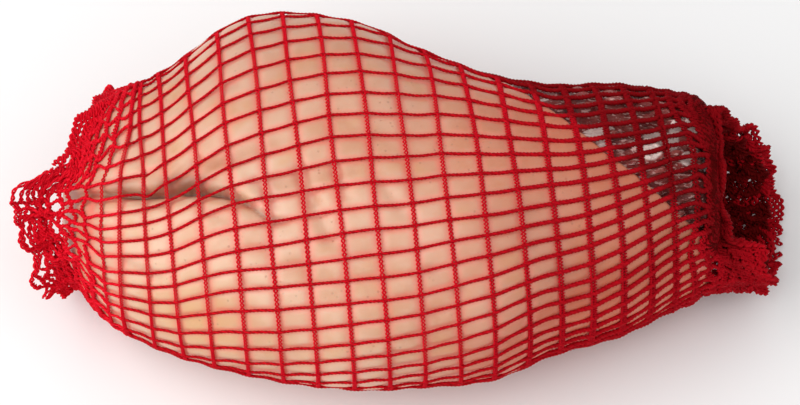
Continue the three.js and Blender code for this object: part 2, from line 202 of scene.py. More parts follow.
# Running numbers of the hoops that lie on the hock beyond the even row, and their places.
SHANK_EXTRA = [-97.0, -103.4, -107.5]
LEAN_EXTRA = [93.0, 98.6, 102.0]
_EVEN = np.linspace(0, LAST, 200)
_RUN = np.concatenate([[-4, -3, -2, -1], _EVEN, [LAST + 1, LAST + 2, LAST + 3]])
_PLACE = np.concatenate([[-110.0], SHANK_EXTRA[::-1], hoop_place(_EVEN), LEAN_EXTRA])


def hoop_number(x, u):
    """The running hoop number at a place on the body: the place less the hoops' slant."""
    straight = x + 0 * u
    for _ in range(4):
        straight = x - slant(straight, u)
    return np.interp(straight, _PLACE, _RUN)


def first_share(j):
    """The share of the turn of thread number j at x = 20."""
    return (j + THREAD_SHIFT - THREAD_SWING * np.sin(TAU * (j / THREADS - THREAD_SWING_AT))) / THREADS


def drift(x, start):
    """How far the thread that is at the share start at x = 20 has drifted at x, as a share:
    smooth steps between the columns of THREAD_DRIFT, right round the hock."""
    x, start = np.broadcast_arrays(np.asarray(x, float), np.asarray(start, float))
    whole = start - np.floor(start - DRIFT_AT[0])
    k = np.clip(np.searchsorted(DRIFT_AT, whole, side="right") - 1, 0, len(DRIFT_AT) - 1)
    ends = np.append(DRIFT_AT[1:], DRIFT_AT[0] + 1)
    step = smooth((whole - DRIFT_AT[k]) / (ends[k] - DRIFT_AT[k]))
    total = 0.0
    for column in range(len(DRIFT_AT)):
        weight = np.where(k == column, 1 - step, 0) + np.where((k + 1) % len(DRIFT_AT) == column, step, 0)
        total = total + weight * curve(THREAD_DRIFT, x, column + 1)
    return total / THREADS


def thread_number(x, u):
    """The running number of the thread at a place of the net: the share less the drift."""
    start = u + 0 * x
    for _ in range(6):
        start = u - drift(x, start)
    numbers = np.linspace(-2 * THREADS, 2 * THREADS, 4 * THREADS * 4 + 1)
    return np.interp(start, first_share(numbers), numbers)


def pillow(x, u):
    """1 in the middle of a cell of the net, falling steeply to 0 under its threads."""
    number = hoop_number(x, u)
    a = np.abs(np.cos(np.pi * number))
    b = np.abs(np.cos(np.pi * thread_number(hoop_place(np.clip(number, -1, LAST + 1)), u)))
    return (1 - a**10) * (1 - b**8)


# ---- meshes from arrays


def put(name, data):
    """A new object in the scene."""
    piece = bpy.data.objects.new(name, data)
    bpy.context.scene.collection.objects.link(piece)
    return piece


def mesh_piece(name, points, faces, node, material, uvs=None, values=None):
    """A smooth mesh object from points in millimetres and rows of four corners, a corner
    of -1 making a triangle. It rides on the only body and stands for a solid."""
    corners = faces.ravel()
    keep = corners >= 0
    totals = (faces >= 0).sum(axis=1)
    mesh = bpy.data.meshes.new(name)
    mesh.vertices.add(len(points))
    mesh.vertices.foreach_set("co", (points * MM).astype(np.float32).ravel())
    mesh.loops.add(int(totals.sum()))
    mesh.loops.foreach_set("vertex_index", corners[keep].astype(np.int32))
    mesh.polygons.add(len(faces))
    starts = np.concatenate([[0], np.cumsum(totals)[:-1]])
    mesh.polygons.foreach_set("loop_start", starts.astype(np.int32))
    mesh.polygons.foreach_set("loop_total", totals.astype(np.int32))
    mesh.polygons.foreach_set("use_smooth", np.ones(len(faces), bool))
    if uvs is not None:
        layer = mesh.uv_layers.new(name="strand")
        layer.data.foreach_set("uv", uvs.reshape(-1, 2)[keep].astype(np.float32).ravel())
    for key, value in (values or {}).items():
        attribute = mesh.attributes.new(key, "FLOAT", "POINT")
        attribute.data.foreach_set("value", value.astype(np.float32).ravel())
    mesh.update(calc_edges=True)
    mesh.validate()
    mesh.materials.append(material)
    piece = put(name, mesh)
    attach(piece, "root")
    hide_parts(node)


def closed_rings(rings, start, end):
    """Faces and points of a closed skin over rings of points, closed on two poles."""
    rows, count = rings.shape[:2]
    points = np.concatenate([rings.reshape(-1, 3), [start, end]])
    grid = np.arange(rows * count).reshape(rows, count)
    turned = np.roll(grid, -1, axis=1)
    quads = np.stack([grid[:-1], grid[1:], turned[1:], turned[:-1]], -1).reshape(-1, 4)
    none = np.full(count, -1)
    first = np.stack([np.full(count, rows * count), grid[0], turned[0], none], -1)
    last = np.stack([np.full(count, rows * count + 1), turned[-1], grid[-1], none], -1)
    return points, np.concatenate([quads, first, last])


def lengths_along(paths):
    """How far along its path each point lies, and the steps between the points."""
    step = np.linalg.norm(np.diff(paths, axis=1), axis=-1)
    start = np.zeros((len(paths), 1))
    return np.concatenate([start, np.cumsum(step, axis=1)], axis=1), step


def strands(paths, side, up, radius, sides, closed, flat=1.0, twist=None):
    """Tubes along many paths at once. At each point of a path the ring is
    radius * (cos(angle) * side + flat * sin(angle) * up), turned by twist."""
    many, steps = paths.shape[:2]
    ring = TAU * np.arange(sides) / sides
    spin = np.zeros((many, steps)) if twist is None else twist
    c, s = np.cos(spin)[..., None], np.sin(spin)[..., None]
    across, over = c * side + s * up, c * up - s * side
    cosine, sine = np.cos(ring)[:, None], np.sin(ring)[:, None]
    size = np.broadcast_to(radius, (many, steps))[..., None, None]
    points = paths[:, :, None] + size * (cosine * across[:, :, None] + flat * sine * over[:, :, None])
    index = np.arange(many * steps * sides).reshape(many, steps, sides)
    length, step = lengths_along(paths)
    reach = steps if closed else steps - 1
    near, far = index[:, :reach], np.roll(index, -1, axis=1)[:, :reach]
    near_next, far_next = np.roll(near, -1, axis=2), np.roll(far, -1, axis=2)
    faces = np.stack([near, near_next, far_next, far], -1).reshape(-1, 4)
    begin = np.broadcast_to(length[:, :reach, None], near.shape)
    finish = begin + step.mean()
    low = np.broadcast_to(np.arange(sides) / sides, near.shape)
    high = low + 1 / sides
    corners = [(begin, low), (begin, high), (finish, high), (finish, low)]
    uvs = np.stack([np.stack(pair, -1) for pair in corners], -2).reshape(-1, 4, 2)
    if not closed:
        for end, order in ((0, 1), (-1, -1)):
            rim = index[:, end, ::-order]
            for k in range(1, sides - 1, 2):
                lids = rim[:, [0, k, k + 1, min(k + 2, sides - 1)]].copy()
                if k + 2 > sides - 1:
                    lids[:, 3] = -1
                faces = np.concatenate([faces, lids])
                uvs = np.concatenate([uvs, np.zeros((many, 4, 2))])
    return points.reshape(-1, 3), faces, uvs


def joined(parts):
    """Several meshes' points, faces and corner places as one."""
    points, faces, uvs, base = [], [], [], 0
    for p, f, w in parts:
        points.append(p)
        faces.append(np.where(f >= 0, f + base, -1))
        uvs.append(w)
        base += len(p)
    return np.concatenate(points), np.concatenate(faces), np.concatenate(uvs)


def net_piece(name, parts, material):
    """A piece of the net from the meshes of its strands."""
    points, faces, uvs = joined(parts)
    mesh_piece(name, points, faces, "net", material, uvs=uvs)


# ---- the hock's relief

# The fold of the rind at the shank end: its run along the hock and its share of the turn.
CREASE_X = np.array([-110, -95, -85, -77, -69, -61, -53, -49, -45, -42, -38, -33], float)
CREASE_U = np.array(
    [0.4565, 0.4555, 0.4549, 0.4559, 0.4544, 0.4465, 0.437, 0.4322, 0.424, 0.4175, 0.4129, 0.4105]
)
CREASE_STRENGTH = np.array([0.05, 0.5, 0.8, 1, 1, 1, 0.85, 0.6, 0.5, 0.42, 0.3, 0])
# Lesser wrinkles: from x, u to x, u, with a depth and a half width in millimetres.
WRINKLES = [
    (-72, 0.462, -62, 0.478, 1.3, 1.6), (-31, 0.462, -27, 0.432, 1.1, 2.2),
    (-27, 0.432, -21, 0.398, 1.2, 2.4), (-44, 0.447, -38, 0.425, 1.0, 1.8),
    (-20, 0.47, -16, 0.44, 0.8, 2.0), (-60, 0.42, -52, 0.405, 0.9, 2.2),
    (-5, 0.455, 2, 0.43, 0.7, 2.4), (-46, 0.35, -38, 0.34, 0.7, 2.6),
    (10, 0.38, 18, 0.36, 0.6, 2.6), (-84, 0.36, -74, 0.35, 1.0, 2.0),
    (-66, 0.55, -52, 0.56, 0.8, 2.4), (-40, 0.8, -10, 0.82, 1.2, 3.0),
    (-70, 0.75, -56, 0.78, 1.4, 2.6), (-10, 0.12, 20, 0.14, 1.0, 3.0),
    (-62, 0.456, -44, 0.479, 0.8, 2.2), (-37, 0.445, -15, 0.467, 0.6, 2.4),
]
# Strokes of painted shade on the rind, brownish bands where shade falls: from x, u to x, u, with a share and
# a half width.
SHADE_STROKES = [
    (-71, 0.465, -57, 0.465, 0.24, 3.0), (-57, 0.465, -40, 0.482, 0.2, 3.2),
    (-38, 0.446, -13, 0.469, 0.17, 3.4), (-45, 0.383, -42, 0.381, 0.28, 3.2),
    (-33, 0.37, -29, 0.367, 0.28, 3.2), (-22, 0.5, -6, 0.503, 0.1, 4.0),
]


def crease_distance(x, u):
    """Millimetres round the body from the fold, positive above it."""
    return (u - np.interp(x, CREASE_X, CREASE_U)) * girth(x)


def groove(x, u, stroke):
    """A soft furrow along one stroke: a bell of the distance from it."""
    x0, u0, x1, u1, depth, width = stroke
    scale = girth(np.array((x0 + x1) / 2))
    px, pu = x - x0, (u - u0) * scale
    qx, qu = x1 - x0, (u1 - u0) * scale
    t = np.clip((px * qx + pu * qu) / (qx**2 + qu**2), 0, 1)
    away = np.hypot(px - t * qx, pu - t * qu)
    return depth * bell(away, width)


def lumps(x, u, seed, size):
    """Smooth unevenness between about -1 and 1: sines of the place, of four directions."""
    p = surface(x, u) / size
    random = np.random.default_rng(seed)
    total = 0.0
    for _ in range(9):
        direction = unit(random.normal(size=3)) * random.uniform(0.7, 1.8)
        total = total + np.sin(p @ direction * TAU + random.uniform(0, TAU))
    return total / 4.2


def rind_height(x, u, bulge, fold):
    """How far the rind stands over the plain body: pillows in the net's cells, the fold
    with its steep upper wall, wrinkles and a slow unevenness."""
    taut = 0.55 + 0.45 * smooth((surface(x, u)[..., 2] - 2) / 8)
    cells = np.maximum(pillow(x, u), smooth((-96 - x) / 5))
    height = bulge * taut * (cells - 0.25)
    strength = np.interp(x, CREASE_X, CREASE_STRENGTH, right=0)
    d = crease_distance(x, u)
    below = np.exp(np.minimum(d, 0) / 2.6)
    above = np.exp(-np.maximum(d, 0) / 0.7)
    height = height - fold * strength * below * above
    height = height + 1.1 * strength * bell(d - 4.5, 4)
    height = height + 0.5 * strength * bell(d + 9, 5)
    for stroke in WRINKLES:
        height = height - groove(x, u, stroke)
    height = height + 0.45 * lumps(x, u, 11, 46) + 0.12 * lumps(x, u, 12, 9)
    return np.minimum(height, 0.05 + 0.75 * cells)


# How far the cut strays from its plane: shares of the turn, and millimetres along.
CUT_COURSE = (0.3, 0.33, 0.42, 0.5, 0.55, 0.62, 0.66, 0.69), (0, 1.5, 0.3, -1, -1.2, 1.2, 1.5, 0)


def rind_end(u):
    """Where the slanting cut ends the rind at the share u, found by halving the range."""
    low, high = np.full(u.shape, 15.0), np.full(u.shape, 100.5)
    for _ in range(30):
        middle = (low + high) / 2
        inside = surface(middle, u) @ RIND_CUT < RIND_CUT_DISTANCE
        low, high = np.where(inside, middle, low), np.where(inside, high, middle)
    return low + np.interp(u, *CUT_COURSE) + 0.3 * wave(4, u) + 0.15 * wave(11, u, 1)


def shank_rows(count):
    """Places from the shank pole onwards, dense at the pole as on a ball."""
    angle = np.linspace(0.05, np.pi / 2, count)
    return SHANK_START + (SHANK_POLE - SHANK_START) * np.cos(angle)


def rind_masks(x, u, extra):
    """Shares for the material: a painted red glow beside the threads, painted shade in the fold, its
    recesses and along strokes, warm over fat and stains, and a redder tone towards the lean end mixed with
    painted shade.
    """
    strength = np.interp(x, CREASE_X, CREASE_STRENGTH, right=0)
    d = crease_distance(x, u)
    # The fold mask is painted shade: dark colour along the crease, in two recesses near the shank end, and
    # along the shade strokes.
    fold = 1.1 * strength * bell(d + 0.7, 1.4)
    recess = bell(x + 66, 9) + 0.7 * bell(x + 86, 5)
    fold = np.maximum(fold, 0.85 * recess * smooth(d / 0.6 + 1) * smooth((5.5 - d) / 4))
    # Painted shade along the listed strokes; it feeds the fold, warm and redder-tone masks.
    stroke_shade = sum(groove(x, u, stroke) for stroke in SHADE_STROKES)
    fold = fold + 0.35 * stroke_shade
    warm = bell(x + 63, 16) * bell(u - 0.3, 0.05) + 1.5 * stroke_shade
    warm = warm + 0.6 * bell(x - 40, 40) * bell(u - 0.05, 0.1)
    # Painted red glow beside and under the threads: light bounced off the red yarn.
    yarn_glow = (1 - pillow(x, u) ** 2) * smooth((x + 101) / 5)
    # A redder tone towards the lean end, with painted shade over the top, along the underside and on the
    # lower right, painted red bounce light at the shank end, and the painted shade strokes.
    ruddy_and_shade = 0.8 * smooth((x + 25) / 100) + 0.25 * smooth((u - 0.42) / 0.16)
    ruddy_and_shade = ruddy_and_shade + 0.35 * smooth((0.29 - u) / 0.08) + 0.6 * smooth((-86 - x) / 14)
    ruddy_and_shade = ruddy_and_shade + 1.3 * smooth(x / 55) * smooth((0.37 - u) / 0.14)
    ruddy_and_shade = np.clip(ruddy_and_shade + 1.2 * stroke_shade, 0, 1)
    values = {}
    for key, value in (("yarn_glow", yarn_glow), ("fold", fold), ("warm", warm), ("ruddy_and_shade", ruddy_and_shade)):
        rows = [value] + [value[-1:]] * extra
        values[key] = np.concatenate([np.concatenate(rows).ravel(), [0.0, 0.0]])
    return values


# ---- the net's own surface, on the hock and beyond both of its ends

NET_LIFT = 0.6  # of the threads' middle over the plain body
LAYER_GAP = 2.6  # between a loose end's two layers
HUG_START, HUG_RIM = 8, 11  # how far a loose end's two handles are drawn in
# The rims of the loose ends: share of the turn, place along the hock, radius, and how
# closely the net hugs the hock's end before it stands off.
SHANK_RIM = np.array([
    (0, -112, 27, 1), (0.1, -112, 27, 1), (0.165, -109, 27.5, 0.8), (0.23, -113, 29.5, 0.9),
    (0.285, -115, 27, 1), (0.335, -117.5, 26.5, 1), (0.385, -121, 25.5, 1), (0.455, -120.5, 25.5, 1),
    (0.495, -108.5, 25.5, 0.6), (0.54, -105, 27, 0.4), (0.58, -103, 29, 0.2), (0.64, -98.5, 34.5, 0.1),
    (0.7, -94, 38, 0), (0.78, -102, 34, 0), (0.88, -111, 28, 0.6),
])
LEAN_RIM = np.array([
    (0.05, 124, 27, 0.2), (0.17, 117, 27.5, 0.2), (0.25, 119, 27.5, 0.1), (0.3, 115, 26.5, 0.2),
    (0.36, 104, 24.5, 0.7), (0.42, 101, 25, 0.8), (0.52, 101, 26.5, 0.6), (0.6, 102.5, 31, 0.1),
    (0.67, 110, 24, 0.1), (0.75, 117, 21.5, 0.1), (0.85, 123.5, 25.5, 0.1), (0.95, 125, 27, 0.2),
])
SHANK_MIDDLE = np.array([0, 2.5, 30.0])
LEAN_MIDDLE = np.array([0, 4.5, 30.0])
# Shares of the way from the end hoop to the rim at which the loose end's hoops stand.
SHANK_STEPS = np.array([0, 0.18, 0.35, 0.49, 0.6, 0.7, 0.79, 0.88, 0.96, 1.04])
LEAN_STEPS = np.array([0, 0.22, 0.4, 0.52, 0.62, 0.71, 0.79, 0.88, 0.96, 1.04])


def rim_at(rim, u):
    """The rim's place, radius and hug at the share u: smooth steps between named places."""
    u = np.asarray(u) % 1
    shares = np.concatenate([[rim[-1, 0] - 1], rim[:, 0], [rim[0, 0] + 1]])
    rows = np.concatenate([rim[-1:, 1:], rim[:, 1:], rim[:1, 1:]])
    k = np.clip(np.searchsorted(shares, u, side="right") - 1, 0, len(shares) - 2)
    step = smooth((u - shares[k]) / (shares[k + 1] - shares[k]))[..., None]
    return rows[k] + (rows[k + 1] - rows[k]) * step


def body_net(a, u):
    """The net on the hock at running hoop number a: the body raised by NET_LIFT."""
    straight = hoop_place(a)
    x = straight + slant(straight, u)
    return surface(x, u) + NET_LIFT * outward(x, u)


def loose_net(w, u, rim, middle, first, away, layer=0):
    """The net beyond its end hoop: a cubic curve for each u, from the end hoop, w = 0,
    over the hock's end to the rim, w = 1. Its inner handles are drawn in by the rim
    table's last column, so that it hugs the hock's end before it stands off, and it is
    crumpled by sines that grow towards the rim. A second layer runs a little inside the
    first one with a crumple of its own."""
    w, u = np.broadcast_arrays(np.asarray(w, float), np.asarray(u, float))
    start = body_net(first + 0 * u, u)
    before = body_net(first - 0.3 * away + 0 * u, u)
    angle = TAU * u
    radial = np.stack([0 * u, -np.sin(angle), -np.cos(angle)], -1)
    tangent = np.stack([0 * u, -np.cos(angle), np.sin(angle)], -1)
    along = np.array([1.0, 0, 0])
    rim_x, radius, hug = np.split(rim_at(rim, u), 3, axis=-1)
    radius = radius - LAYER_GAP * layer
    edge = middle + (rim_x - 2.5 * away * layer) * along + radius * radial
    third = np.linalg.norm(edge - start, axis=-1, keepdims=True) / 3
    lead = start + third * unit(start - before) - HUG_START * hug * radial
    neck = edge - 0.9 * third * away * along - HUG_RIM * hug * radial
    t = w[..., None]
    path = (1 - t) ** 3 * start + 3 * (1 - t) ** 2 * t * lead + 3 * (1 - t) * t**2 * neck + t**3 * edge
    grow = smooth((w - 0.2) / 0.75)[..., None]
    shifted = u + 0.37 * layer
    waves = [
        wave(7, shifted, 1.3 + 4 * w) + 0.7 * wave(13, shifted, 2.1 - 7 * w),
        wave(9, shifted, 0.4 + 5 * w) + 0.8 * wave(16, shifted, 3.1 + 8 * w),
        wave(11, shifted, 2.2 - 3 * w) + 0.6 * wave(19, shifted, 5.0 + 9 * w),
    ]
    lengthwise, outwards, round_about = np.stack(waves)[..., None]
    crumple = 0.5 * lengthwise * along + 1.1 * outwards * radial + round_about * tangent
    return off_the_hock(path + grow * crumple)


def off_the_hock(points):
    """Points inside the hock or under the floor moved out to lie on them."""
    x, y, z = points[..., 0], points[..., 1], points[..., 2]
    near = np.clip(x, SHANK_POLE + 0.02, LEAN_POLE - 0.02)
    cap = cap_factor(near)
    half_width = station(near, 2) * cap + 1e-6
    half_height = station(near, 3) * cap + 1e-6
    shift, middle = station(near, 1), NET_ROOM - SINK + station(near, 3)
    share = np.hypot((y - shift) / half_width, (z - middle) / half_height)
    inside = (x > SHANK_POLE) & (x < LEAN_POLE)
    wanted = 1 + (NET_LIFT + 0.35) / np.sqrt(half_width * half_height)
    push = np.where(inside & (share < wanted), wanted / np.maximum(share, 1e-3), 1)
    y = shift + (y - shift) * push
    z = np.maximum(middle + (z - middle) * push, 1.0)
    return np.stack([x, y, z], -1)


def net_point(a, u, layer=0):
    """The net's surface at any running number: on the hock from 0 to the last hoop, and
    in a loose end below and above that, where the numbers count its own hoops."""
    a, u = np.broadcast_arrays(np.asarray(a, float), np.asarray(u, float))
    points = body_net(np.clip(a, 0, LAST), u)
    near = bell(u % 1 - 0.46, 0.09, 4)
    for past, steps, squeeze, end in (
        (-a, SHANK_STEPS, 0.15 * behind(u), (SHANK_RIM, SHANK_MIDDLE, 0, -1)),
        (a - LAST, LEAN_STEPS, 1.6 * near, (LEAN_RIM, LEAN_MIDDLE, LAST, 1)),
    ):
        loose = past > 0
        if loose.any():
            w = np.interp(past[loose], np.arange(len(steps)), steps)
            w = np.where(w < 1, 1 - np.maximum(1 - w, 0) ** (1 + squeeze[loose]), w)
            points[loose] = loose_net(w, u[loose], *end, layer)
    return points


def net_frame(a, u, layer=0):
    """The net's point, its direction along the hock, round the hock, and outward."""
    point = net_point(a, u, layer)
    along = unit(net_point(a + 0.04, u, layer) - net_point(a - 0.04, u, layer))
    around = unit(net_point(a, u + 0.0007, layer) - net_point(a, u - 0.0007, layer))
    out = unit(np.cross(along, around))
    return point, along, around, out


# ---- threads


def fullness(a):
    """How much thicker the yarn is towards the lean end, where it is stretched less."""
    return 1 + 0.7 * smooth((hoop_place(np.clip(a, 0, LAST)) - 5) / 65)


def slackness(a, u):
    """0 on the hock, growing to 1 over the first hoops of a loose end. Behind the fold
    the two end hoops are slack as well."""
    return smooth((np.maximum(-a + 1.8 * behind(u), a - LAST) - 0.5) / 2.5)


def thread_share(j, a):
    """The share of the turn of lengthwise thread j: even, but for a slow wander, a gather
    at the shank end, and two threads near the fold whose stitch has slipped down."""
    start = first_share(j)
    u = start + drift(hoop_place(np.clip(a, -1, LAST + 1)), start)
    u = u + 0.0006 * np.sin(1.7 * j + 0.9 * a) + 0.0004 * np.sin(2.9 * j - 0.5 * a)
    slack = slackness(a, u)
    u = u + slack * 0.2 * np.cos(np.pi * (a + j)) / THREADS
    u = u + slack * (0.16 * np.sin(2.1 * a + 5 * j) + 0.1 * np.sin(4.7 * a - 3 * j)) / THREADS
    pull = 0.6 * bell(u % 1 - 0.2, 0.035) * bell(a + 2, 2)
    u = u - pull * (u % 1 - 0.2)
    slipped = np.where(j == 25, 0.2, np.where(j == 24, 0.28, 0.0))
    return u - slipped / THREADS * bell(a - 1.2, 0.4)


def hoop_strands(numbers, net, stitches, samples, layer=0, scallop=0.0, sides=4):
    """Knitted hoops: two strands wound round each other, with a stitch for each turn.
    A strand lies lateral * sin(phase) along the hock and height * cos(phase) out of it,
    and thickens where a lengthwise thread is caught in its stitch. A scallop hangs loops
    from every second thread, as the last row of stitches does."""
    u = np.arange(stitches * samples) / (stitches * samples)
    a = np.asarray(numbers, float)[:, None]
    slack = slackness(a, u)
    stray = 0.2 * wave(13, u, 2.3 * a) + 0.14 * wave(29, u, -1.1 * a)
    stray = stray * slack * smooth(np.maximum(-a, a - LAST)) * (1 - 0.6 * behind(u) * (a < 0))
    loops = np.abs(np.sin(np.pi * THREADS / 2 * u + 0.6 * wave(3, u)))
    near = bell(u - 0.46, 0.1, 4) * (a > 0)
    stray = stray + scallop * (1 - near) * np.sqrt(loops) * (0.65 + 0.35 * wave(4, u, 2))
    point, _, around, out = net_frame(a + stray, u[None, :], layer)
    side = unit(np.cross(out, around))
    parts = []
    number = thread_number(hoop_place(np.clip(a, -1, LAST + 1)), u[None, :])
    knot = bell((number + 0.5) % 1 - 0.5, 0.13)
    for strand in (0, 1):
        phase = TAU * stitches * u + np.pi * strand + a * 1.9
        lateral = net.hoop_lateral * (fullness(a) + 0.25 * knot) * np.sin(phase)
        height = net.hoop_height * (1 + 0.6 * slack) * np.cos(phase) + 0.12 * knot + 0.2 * slack
        path = point + lateral[..., None] * side + height[..., None] * out
        radius = net.hoop_radius * (fullness(a) + 0.22 * knot + 0.6 * slack)
        parts.append(strands(path, side, out, radius, sides, True))
    return joined(parts)


def lengthwise_threads(start, end, samples, net, first=0, last=THREADS, layer=0):
    """Lengthwise threads: two plies drawn as one flattened section that turns as it runs.
    A thread rises a little over each hoop."""
    j = np.arange(first, last)[:, None]
    a = np.linspace(start, end, samples)[None, :]
    point, along, _, out = net_frame(a, thread_share(j, a), layer)
    side = unit(np.cross(out, along))
    rise = 0.2 * np.cos(TAU * a)
    path = point + rise[..., None] * out
    twist = TAU * lengths_along(path)[0] / net.twist_pitch + j * 1.3
    radius = net.thread_radius * (fullness(a) + 0.4 * slackness(a, thread_share(j, a)))
    return strands(path, side, out, radius, 6, False, 0.7, twist)


# ---- materials

MOTTLE, FIBRES = "Flesh mottle", "Yarn fibres"


def shader(name, **inputs):
    """A new material, its tree and its Principled BSDF, with the inputs given set."""
    material = bpy.data.materials.new(name)
    material.use_nodes = True
    bsdf = material.node_tree.nodes["Principled BSDF"]
    for key, value in inputs.items():
        bsdf.inputs[key.replace("_", " ")].default_value = value
    return material, material.node_tree, bsdf


def feed(socket, value):
    """Link a socket to an output, or set its value."""
    if isinstance(value, bpy.types.NodeSocket):
        socket.id_data.links.new(value, socket)
    else:
        socket.default_value = value


def add(tree, kind, settings=None, **inputs):
    """A node with its properties, and its sockets fed by name or, as i0, i1, by number."""
    node = tree.nodes.new("ShaderNode" + kind)
    for key, value in (settings or {}).items():
        setattr(node, key, value)
    for key, value in inputs.items():
        numbered = key[0] == "i" and key[1:].isdigit()
        feed(node.inputs[int(key[1:]) if numbered else key.replace("_", " ")], value)
    return node


def mixed(share, first, second):
    """A mix of two colours or colour sockets."""
    node = add(share.id_data, "Mix", {"data_type": "RGBA"}, i0=share)
    for index, value in ((6, first), (7, second)):
        linked = isinstance(value, bpy.types.NodeSocket)
        feed(node.inputs[index], value if linked else (*value[:3], 1))
    return node.outputs[2]


def maths(operation, *values, clamp=False):
    node = add(values[0].id_data, "Math", {"operation": operation, "use_clamp": clamp})
    for socket, value in zip(node.inputs, values):
        feed(socket, value)
    return node.outputs[0]


def scaled(value, factor):
    return maths("MULTIPLY", value, factor)


def ramp(value, low, high, to_low=0.0, to_high=1.0):
    """A smooth step from to_low, where the value is low, to to_high, where it is high."""
    kind = {"interpolation_type": "SMOOTHSTEP"}
    node = add(value.id_data, "MapRange", kind, i0=value, i1=low, i2=high, i3=to_low, i4=to_high)
    return node.outputs[0]


def attribute(tree, name):
    return add(tree, "Attribute", {"attribute_name": name}).outputs["Fac"]


def object_place(tree):
    return add(tree, "TexCoord").outputs["Object"]


def along_hock(place):
    return add(place.id_data, "SeparateXYZ", Vector=place).outputs[0]


def new_group(name, **inputs):
    """An empty node group that puts out a mask and a bump height, and its sockets. An
    input without a value is a vector."""
    group = bpy.data.node_groups.new(name, "ShaderNodeTree")
    for key, value in inputs.items():
        kind = "NodeSocketVector" if value is None else "NodeSocketFloat"
        socket = group.interface.new_socket(key, in_out="INPUT", socket_type=kind)
        if value is not None:
            socket.default_value = value
    for key in ("Mask", "Height"):
        group.interface.new_socket(key, in_out="OUTPUT", socket_type="NodeSocketFloat")
    source, sink = group.nodes.new("NodeGroupInput"), group.nodes.new("NodeGroupOutput")
    return group, source.outputs, sink.inputs


def mottle_group():
    """Unevenness in the object's own space: one noise as a mask and a bump height."""
    group, source, sink = new_group(MOTTLE, Scale=60.0, Detail=4.0, Low=0.35, High=0.65, Vector=None)
    inputs = {key: source[key] for key in ("Vector", "Scale", "Detail")}
    noise = add(group, "TexNoise", **inputs).outputs["Fac"]
    feed(sink["Mask"], ramp(noise, source["Low"], source["High"]))
    feed(sink["Height"], noise)
    return group


def fibre_group():
    """Twisted fibres along a strand: slanting stripes on the strand's own map, broken up
    by noise, as a mask and a bump height."""
    group, source, sink = new_group(FIBRES, Stripes=2.0, Slant=1.6)
    strand = add(group, "UVMap", {"uv_map": "strand"}).outputs[0]
    split = add(group, "SeparateXYZ", Vector=strand).outputs
    run = scaled(split[0], source["Slant"])
    across = scaled(split[1], source["Stripes"])
    stripe = maths("SINE", scaled(maths("ADD", run, across), TAU))
    place = object_place(group)
    noise = add(group, "TexNoise", Vector=place, Scale=2600.0).outputs["Fac"]
    height = maths("ADD", scaled(stripe, 0.35), noise)
    feed(sink["Mask"], ramp(height, 0.1, 0.9))
    feed(sink["Height"], height)
    return group


def use_group(tree, name, **inputs):
    """The outputs of a shared group, which is made when it is first used."""
    make = {MOTTLE: mottle_group, FIBRES: fibre_group}[name]
    group = bpy.data.node_groups.get(name) or make()
    return add(tree, "Group", {"node_tree": group}, **inputs).outputs


def mottled(place, scale, low, high):
    return use_group(place.id_data, MOTTLE, Vector=place, Scale=scale, Low=low, High=high)


def dress(bsdf, colour, height, strength, distance):
    """Give a material its colour and its bump."""
    bump = add(bsdf.id_data, "Bump", Height=height, Strength=strength, Distance=distance)
    feed(bsdf.inputs["Base Color"], colour)
    feed(bsdf.inputs["Normal"], bump.outputs[0])


def rind_material(hock):
    """Pale moist rind: mottled cream and pink, with a painted red glow beside the net's threads,
    painted shade in its folds and on its shaded sides, a redder tone towards the lean end,
    fine pores and a wet gloss."""
    material, tree, bsdf = shader(
        "salted rind",
        Subsurface_Weight=0.25, Subsurface_Radius=(0.009, 0.004, 0.0025), Subsurface_Scale=0.5,
        Coat_Weight=0.12, Coat_Roughness=0.3,
    )
    place = object_place(tree)
    broad = mottled(place, 28.0, 0.36, 0.66)
    fine = mottled(place, 190.0, 0.4, 0.7)
    stain = mottled(place, 62.0, 0.52, 0.72)
    colour = mixed(broad["Mask"], hock.rind_pale, hock.rind_pink)
    for share, tint in (
        (scaled(fine["Mask"], 0.45), hock.rind_pale),
        (scaled(stain["Mask"], 0.45), hock.rind_yellow),
        # Warm over fat and stains, and partly the painted shade strokes.
        (scaled(attribute(tree, "warm"), 0.75), hock.rind_yellow),
        # Redder tone towards the lean end, partly painted shade and painted bounce light.
        (attribute(tree, "ruddy_and_shade"), hock.rind_ruddy_and_shade),
        # Painted red glow beside the threads.
        (scaled(attribute(tree, "yarn_glow"), 0.7), hock.rind_yarn_glow),
        # Painted shade in the fold and its recesses.
        (maths("MULTIPLY", attribute(tree, "fold"), 0.95, clamp=True), hock.rind_fold_shade),
    ):
        colour = mixed(share, colour, tint)
    pores = add(tree, "TexVoronoi", Vector=place, Scale=420.0)
    pore = ramp(pores.outputs["Distance"], 0.1, 0.22, 1.0, 0.0)
    rare = mottled(place, 70.0, 0.5, 0.62)
    pore = scaled(pore, scaled(rare["Mask"], 0.3))
    colour = mixed(pore, colour, hock.rind_pore)
    feed(bsdf.inputs["Roughness"], ramp(fine["Height"], 0.3, 0.7, 0.34, 0.52))
    grain = maths("ADD", fine["Height"], scaled(pore, -2.0))
    dress(bsdf, colour, grain, 0.35, 0.0006)
    return material


